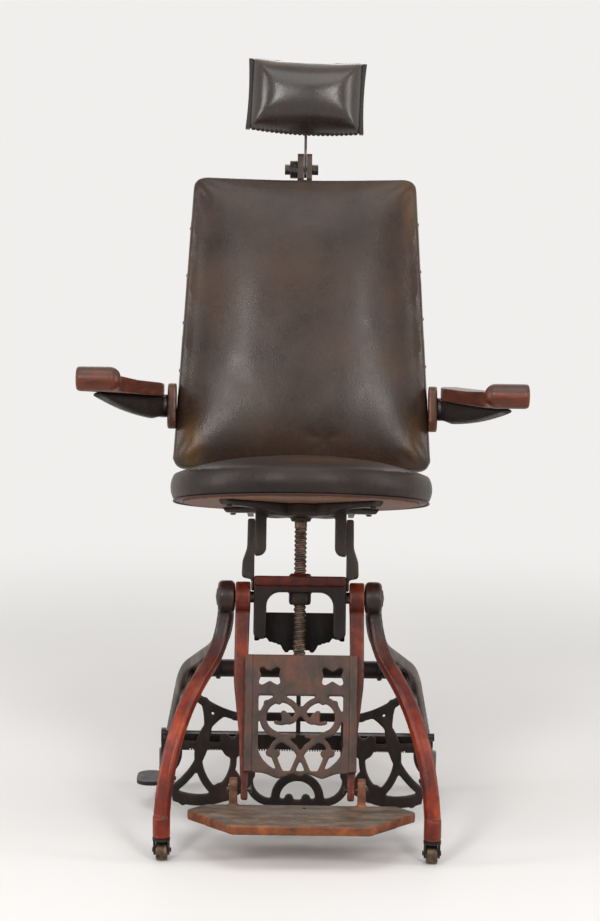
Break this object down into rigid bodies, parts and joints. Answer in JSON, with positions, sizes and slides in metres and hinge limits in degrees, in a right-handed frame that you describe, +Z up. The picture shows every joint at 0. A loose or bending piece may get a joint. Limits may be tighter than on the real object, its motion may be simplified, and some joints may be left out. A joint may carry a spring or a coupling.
{
  "type": "examination chair",
  "caption": "Adjustable examination chair with a round leather seat on a screw, reclining back, headrest, swinging wooden arms, footrest and pierced cast-iron base on casters",
  "frame": {"origin": "on the floor, at the middle of the chair's box in plan", "axes": "X across the chair to the sitter's left as seen in the picture's right, Y from front to back, Z up"},
  "size_m": [0.775, 0.7864, 1.366],
  "materials": {
    "painted_iron": "worn oxblood paint",
    "dark_steel": "dark oiled",
    "brown_leather": "satin, worn",
    "pale_wood": "plain",
    "red_wood": "polished, worn",
    "caster_brass": "dulled"
  },
  "bodies": {
    "base": {"front_leg_left": "painted_iron", "front_leg_right": "painted_iron", "rear_leg_left": "painted_iron", "rear_leg_right": "painted_iron", "side_panel_left": "painted_iron", "side_panel_right": "painted_iron", "cross_panel": "painted_iron", "toothed_stretcher": "painted_iron", "stretcher_bolts": "dark_steel", "cross_tube": "painted_iron", "trunnions": "dark_steel"},
    "yoke": {"yoke": "painted_iron", "yoke_valance": "painted_iron", "guide_bar_left": "painted_iron", "guide_bar_right": "painted_iron", "tilt_quadrant": "painted_iron"},
    "seat": {"seat_spider": "painted_iron", "spider_screws": "dark_steel", "seat_board": "pale_wood", "seat_cushion": "brown_leather", "back_bracket_left": "painted_iron", "back_bracket_right": "painted_iron", "recline_rod": "dark_steel"},
    "lift_screw": {"lift_screw": "dark_steel"},
    "back": {"back_cushion": "brown_leather", "back_board": "pale_wood", "head_socket": "painted_iron", "post_thumbscrew": "dark_steel", "back_strap_left": "painted_iron", "back_strap_right": "painted_iron", "arm_plate_left": "painted_iron", "arm_plate_right": "painted_iron"},
    "head_post": {"head_post": "painted_iron", "clamp_bolt": "dark_steel"},
    "headrest": {"head_blade": "dark_steel", "headrest_board": "pale_wood", "headrest_cushion": "brown_leather"},
    "arm_left": {"arm_bracket_left": "painted_iron", "arm_board_left": "red_wood"},
    "arm_right": {"arm_bracket_right": "painted_iron", "arm_board_right": "red_wood"},
    "footrest": {"foot_bar_left": "painted_iron", "foot_bar_right": "painted_iron", "foot_panel": "painted_iron"},
    "footplate": {"footplate": "painted_iron", "footplate_pins": "dark_steel"},
    "pedal": {"lock_pedal": "painted_iron", "lock_lever": "painted_iron"},
    "caster_front_left": {"caster_fork_front_left": "painted_iron", "caster_pin_front_left": "dark_steel"},
    "wheel_front_left": {"caster_wheel_front_left": "caster_brass"},
    "caster_front_right": {"caster_fork_front_right": "painted_iron", "caster_pin_front_right": "dark_steel"},
    "wheel_front_right": {"caster_wheel_front_right": "caster_brass"},
    "caster_rear_left": {"caster_fork_rear_left": "painted_iron", "caster_pin_rear_left": "dark_steel"},
    "wheel_rear_left": {"caster_wheel_rear_left": "caster_brass"},
    "caster_rear_right": {"caster_fork_rear_right": "painted_iron", "caster_pin_rear_right": "dark_steel"},
    "wheel_rear_right": {"caster_wheel_rear_right": "caster_brass"}
  },
  "joints": [
    {"name": "seat_tilt", "type": "hinge", "parent": "base", "child": "yoke", "pos_m": [0, -0.15525, 0.419], "axis": [-1, 0, 0], "range_deg": [-13.2, 4.4]},
    {"name": "seat_lift", "type": "slide", "parent": "yoke", "child": "seat", "axis": [0, 0.2284, 0.9736], "range_m": [0, 0.055]},
    {"name": "screw_turn", "type": "hinge", "parent": "seat", "child": "lift_screw", "pos_m": [0, -0.15525, 0.419], "axis": [0, 0.2284, 0.9736], "range_deg": [0, 2480]},
    {"name": "back_recline", "type": "hinge", "parent": "seat", "child": "back", "pos_m": [0, 0.13576, 0.55617], "axis": [-1, 0, 0], "range_deg": [-5, 45]},
    {"name": "head_slide", "type": "slide", "parent": "back", "child": "head_post", "axis": [0, 0.3123, 0.95], "range_m": [-0.04, 0.12]},
    {"name": "head_tilt", "type": "hinge", "parent": "head_post", "child": "headrest", "pos_m": [0, 0.35985, 1.15299], "axis": [-1, 0, 0], "range_deg": [-25, 35]},
    {"name": "arm_left_swing", "type": "hinge", "parent": "back", "child": "arm_left", "pos_m": [-0.251, 0.14166, 0.71708], "axis": [-1, 0, 0], "range_deg": [0, 85]},
    {"name": "arm_right_swing", "type": "hinge", "parent": "back", "child": "arm_right", "pos_m": [0.251, 0.14166, 0.71708], "axis": [-1, 0, 0], "range_deg": [0, 85]},
    {"name": "footrest_swing", "type": "hinge", "parent": "base", "child": "footrest", "pos_m": [0, -0.15525, 0.419], "axis": [-1, 0, 0], "range_deg": [0, 45]},
    {"name": "footplate_fold", "type": "hinge", "parent": "footrest", "child": "footplate", "pos_m": [0, -0.26914, 0.10608], "axis": [-1, 0, 0], "range_deg": [0, 80]},
    {"name": "pedal_press", "type": "hinge", "parent": "base", "child": "pedal", "pos_m": [0, -0.08325, 0.15], "axis": [-1, 0, 0], "range_deg": [-0.85, 4], "stiffness_Nm_per_rad": 60},
    {"name": "caster_swivel_front_left", "type": "hinge", "parent": "base", "child": "caster_front_left", "pos_m": [-0.229, -0.34525, 0.05], "axis": [0, 0, 1], "continuous": true},
    {"name": "wheel_spin_front_left", "type": "hinge", "parent": "caster_front_left", "child": "wheel_front_left", "pos_m": [-0.229, -0.33325, 0.0175], "axis": [1, 0, 0], "continuous": true},
    {"name": "caster_swivel_front_right", "type": "hinge", "parent": "base", "child": "caster_front_right", "pos_m": [0.229, -0.34525, 0.05], "axis": [0, 0, 1], "continuous": true},
    {"name": "wheel_spin_front_right", "type": "hinge", "parent": "caster_front_right", "child": "wheel_front_right", "pos_m": [0.229, -0.33325, 0.0175], "axis": [1, 0, 0], "continuous": true},
    {"name": "caster_swivel_rear_left", "type": "hinge", "parent": "base", "child": "caster_rear_left", "pos_m": [-0.245, 0.07375, 0.05], "axis": [0, 0, 1], "continuous": true},
    {"name": "wheel_spin_rear_left", "type": "hinge", "parent": "caster_rear_left", "child": "wheel_rear_left", "pos_m": [-0.245, 0.08575, 0.0175], "axis": [1, 0, 0], "continuous": true},
    {"name": "caster_swivel_rear_right", "type": "hinge", "parent": "base", "child": "caster_rear_right", "pos_m": [0.245, 0.07375, 0.05], "axis": [0, 0, 1], "continuous": true},
    {"name": "wheel_spin_rear_right", "type": "hinge", "parent": "caster_rear_right", "child": "wheel_rear_right", "pos_m": [0.245, 0.08575, 0.0175], "axis": [1, 0, 0], "continuous": true}
  ],
  "couplings": [
    {"joint": "screw_turn", "follows": "seat_lift", "rad_per_m": 785.4}
  ]
}
